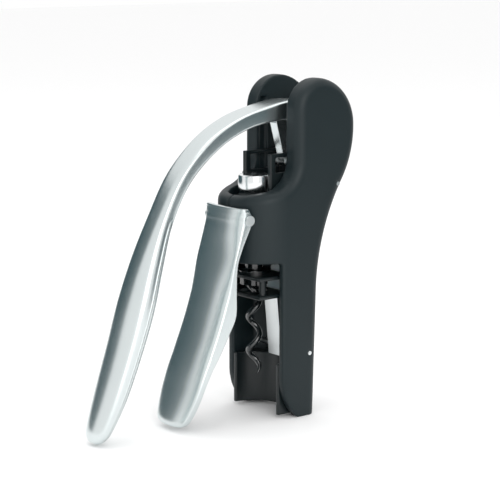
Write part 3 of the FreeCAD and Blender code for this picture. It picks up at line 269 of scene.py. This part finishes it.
def clampPoint(section, angle):
    z, front, rear, half = section
    depth = min(clamp["roundDepth"], (rear - front) * clamp["roundShare"])
    across = half * signedPower(math.cos(angle), 2 / clamp["frontSquare"])
    if math.sin(angle) > 0:
        y = front + depth - depth * math.sin(angle) ** (2 / clamp["frontSquare"])
        y += min(clamp["crown"], depth * clamp["crownShare"]) * (across / half) ** 2 * math.sin(angle)
    else:
        y = front + depth + (rear - front - depth) * abs(math.sin(angle)) ** (2 / clamp["rearSquare"])
        across = half * signedPower(math.cos(angle), 2 / clamp["rearSquare"])
    return Vector((across, y, z)) * mm


build = bmesh.new()
addLoft(build, smoothSteps(clamp["stations"], clamp["steps"]), clamp["ringCount"], clampPoint)
clampHandle = finishedPiece("clampHandle", build, ["clamp_handle"])
hollow = [(z, front + clamp["frontWall"], rear + clamp["openRear"], half - clamp["sideWall"])
          for z, front, rear, half in clamp["stations"][:clamp["hollowStations"]]]
hollow[0] = (hollow[0][0] + clamp["openTop"],) + hollow[0][1:]
build = bmesh.new()
addLoft(build, smoothSteps(hollow, clamp["steps"]), clamp["ringCount"], clampPoint)
bmesh.ops.recalc_face_normals(build, faces=build.faces[:])
cutter = bpy.data.meshes.new("clampHollow")
build.to_mesh(cutter)
build.free()
hollowTool = bpy.data.objects.new("clampHollow", cutter)
bpy.context.collection.objects.link(hollowTool)
carve = clampHandle.modifiers.new("hollow", "BOOLEAN")
carve.operation, carve.object, carve.solver = "DIFFERENCE", hollowTool, "EXACT"
carved = bpy.data.meshes.new_from_object(clampHandle.evaluated_get(bpy.context.evaluated_depsgraph_get()))
clampHandle.modifiers.clear()
clampHandle.data = carved
bpy.data.objects.remove(hollowTool)
carved.set_sharp_from_angle(angle=math.radians(clamp["sharpAngle"]))
print("stage: clamp handle")

# The moulded and cast pieces get the soft edges that come from the mould. Voxel sizes are in mm.
softEdges = {"voxels": {"shell_right": 0.7, "shell_left": 0.7, "neck_guide": 0.4, "nut_carrier": 0.3,
                        "carriage": 0.35, "clamp_jaw": 0.4, "crank_arm": 0.25},
             "smoothing": 3, "smoothShare": 0.5, "mergeDistance": 0.005}
for nodeName, voxel in softEdges["voxels"].items():
    build = bmesh.new()
    build.from_mesh(frame["nodes"][nodeName].data)
    bmesh.ops.remove_doubles(build, verts=build.verts[:], dist=softEdges["mergeDistance"] * mm)
    words = nodeName.split("_")
    piece = finishedPiece(words[0] + "".join(word.title() for word in words[1:]), build, [nodeName])
    remesh = piece.modifiers.new("voxels", "REMESH")
    remesh.mode, remesh.voxel_size, remesh.use_smooth_shade = "VOXEL", voxel * mm, True
    soften = piece.modifiers.new("softEdges", "SMOOTH")
    soften.factor, soften.iterations = softEdges["smoothShare"], softEdges["smoothing"]
    shaped = bpy.data.meshes.new_from_object(piece.evaluated_get(bpy.context.evaluated_depsgraph_get()))
    piece.modifiers.clear()
    piece.data = shaped
    print("stage:", nodeName, len(shaped.polygons), "faces")

# The spindle cap is a turned cup: its profile is spun about the worm's axis.
cap = {"radius": 7.5, "low": 104.0, "high": 114.4, "rim": 0.7, "rimShare": 0.3, "foot": 0.3,
       "dishRadius": 4.5, "dishDepth": 0.35, "centreDepth": 0.4, "steps": 96, "sharpAngle": 50}
profile = [(cap["radius"] - cap["foot"], cap["low"]), (cap["radius"], cap["low"] + cap["foot"]),
           (cap["radius"], cap["high"] - cap["rim"]),
           (cap["radius"] - cap["rim"] * cap["rimShare"], cap["high"] - cap["rim"] * cap["rimShare"]),
           (cap["radius"] - cap["rim"], cap["high"]), (cap["dishRadius"], cap["high"] - cap["dishDepth"]),
           (0, cap["high"] - cap["centreDepth"])]
build = bmesh.new()
line = [build.verts.new(Vector((radius, 0, z)) * mm) for radius, z in profile]
edges = [build.edges.new(pair) for pair in zip(line, line[1:])]
bmesh.ops.spin(build, geom=line + edges, cent=(0, 0, 0), axis=(0, 0, 1), dvec=(0, 0, 0),
               angle=2 * math.pi, steps=cap["steps"], use_merge=True)
bmesh.ops.remove_doubles(build, verts=build.verts[:], dist=0.001 * mm)
bmesh.ops.holes_fill(build, edges=[edge for edge in build.edges if edge.is_boundary])
spindleCap = finishedPiece("spindleCap", build, ["spindle_cap"])
spindleCap.data.set_sharp_from_angle(angle=math.radians(cap["sharpAngle"]))
print("stage: spindle cap")

# Floor, light and camera

studio = {"floorHalf": 4.0, "centre": (0, 0, 0.08), "floorColour": "FBFBFB", "worldStrength": 1.0,
          "keyPlace": ((1.1, -0.5, 0.6), 0.7, 0.9), "keyEnergy": 5,
          "topPlace": ((-0.2, 0.1, 1.2), 1.0, 1.0), "topEnergy": 3.5,
          "flagColour": "3A4E53",
          "leftFlag": ((-0.66, -0.24, 0.13), 0.76, 0.72), "rightFlag": ((0.36, 0.33, 0.13), 0.42, 0.34)}

floorMesh = bpy.data.meshes.new("studioFloor")
build = bmesh.new()
bmesh.ops.create_grid(build, x_segments=1, y_segments=1, size=studio["floorHalf"])
build.to_mesh(floorMesh)
build.free()
studioFloor = bpy.data.objects.new("studioFloor", floorMesh)
bpy.context.collection.objects.link(studioFloor)
floorPaper, tree, principled, place = newMaterial("floorPaper", Roughness=0.95, Specular_IOR_Level=0.05)
principled.inputs["Base Color"].default_value = hexColour(studio["floorColour"])
floorMesh.materials.append(floorPaper)

# Dark cards beside the set, seen only in reflections, give the chrome its dark side.
flagCloth, tree, principled, place = newMaterial("flagCloth", Roughness=1.0, Specular_IOR_Level=0.0)
principled.inputs["Base Color"].default_value = hexColour(studio["flagColour"])
for name in ("leftFlag", "rightFlag"):
    where, width, height = studio[name]
    build = bmesh.new()
    bmesh.ops.create_grid(build, x_segments=1, y_segments=1, size=0.5)
    bmesh.ops.scale(build, vec=(width, height, 1), verts=build.verts)
    facing = (Vector(studio["centre"]) - Vector(where)).to_track_quat("Z", "Y").to_matrix().to_4x4()
    bmesh.ops.transform(build, matrix=Matrix.Translation(where) @ facing, verts=build.verts)
    flagMesh = bpy.data.meshes.new(name)
    build.to_mesh(flagMesh)
    build.free()
    flag = bpy.data.objects.new(name, flagMesh)
    bpy.context.collection.objects.link(flag)
    flagMesh.materials.append(flagCloth)
    flag.visible_camera = flag.visible_diffuse = flag.visible_shadow = False

world = bpy.data.worlds.new("studioWorld")
bpy.context.scene.world = world
world.use_nodes = True
background = world.node_tree.nodes["Background"]
background.inputs["Color"].default_value = (1, 1, 1, 1)
background.inputs["Strength"].default_value = studio["worldStrength"]


def softbox(name, place, width, height, energy):
    lamp = bpy.data.lights.new(name, "AREA")
    lamp.shape = "RECTANGLE"
    lamp.size, lamp.size_y, lamp.energy = width, height, energy
    holder = bpy.data.objects.new(name, lamp)
    bpy.context.collection.objects.link(holder)
    holder.location = place
    holder.rotation_euler = (Vector(studio["centre"]) - Vector(place)).to_track_quat("-Z", "Y").to_euler()


softbox("keySoftbox", *studio["keyPlace"], studio["keyEnergy"])
softbox("topSoftbox", *studio["topPlace"], studio["topEnergy"])

view = {"azimuth": 51, "distance": 0.817, "height": 0.225, "aim": 0.0757,
        "lens": 127.2, "sensor": 36, "shift": (-0.008, 0.0112)}
cameraData = bpy.data.cameras.new("photoCamera")
cameraData.lens, cameraData.sensor_width = view["lens"], view["sensor"]
cameraData.shift_x, cameraData.shift_y = view["shift"]
photoCamera = bpy.data.objects.new("photoCamera", cameraData)
bpy.context.collection.objects.link(photoCamera)
turn = math.radians(view["azimuth"])
photoCamera.location = (view["distance"] * math.sin(turn), -view["distance"] * math.cos(turn), view["height"])
towardsAim = Vector((0, 0, view["aim"])) - photoCamera.location
photoCamera.rotation_euler = towardsAim.to_track_quat("-Z", "Y").to_euler()
bpy.context.scene.camera = photoCamera
bpy.context.scene.view_settings.view_transform = "Standard"
print("stage: studio")
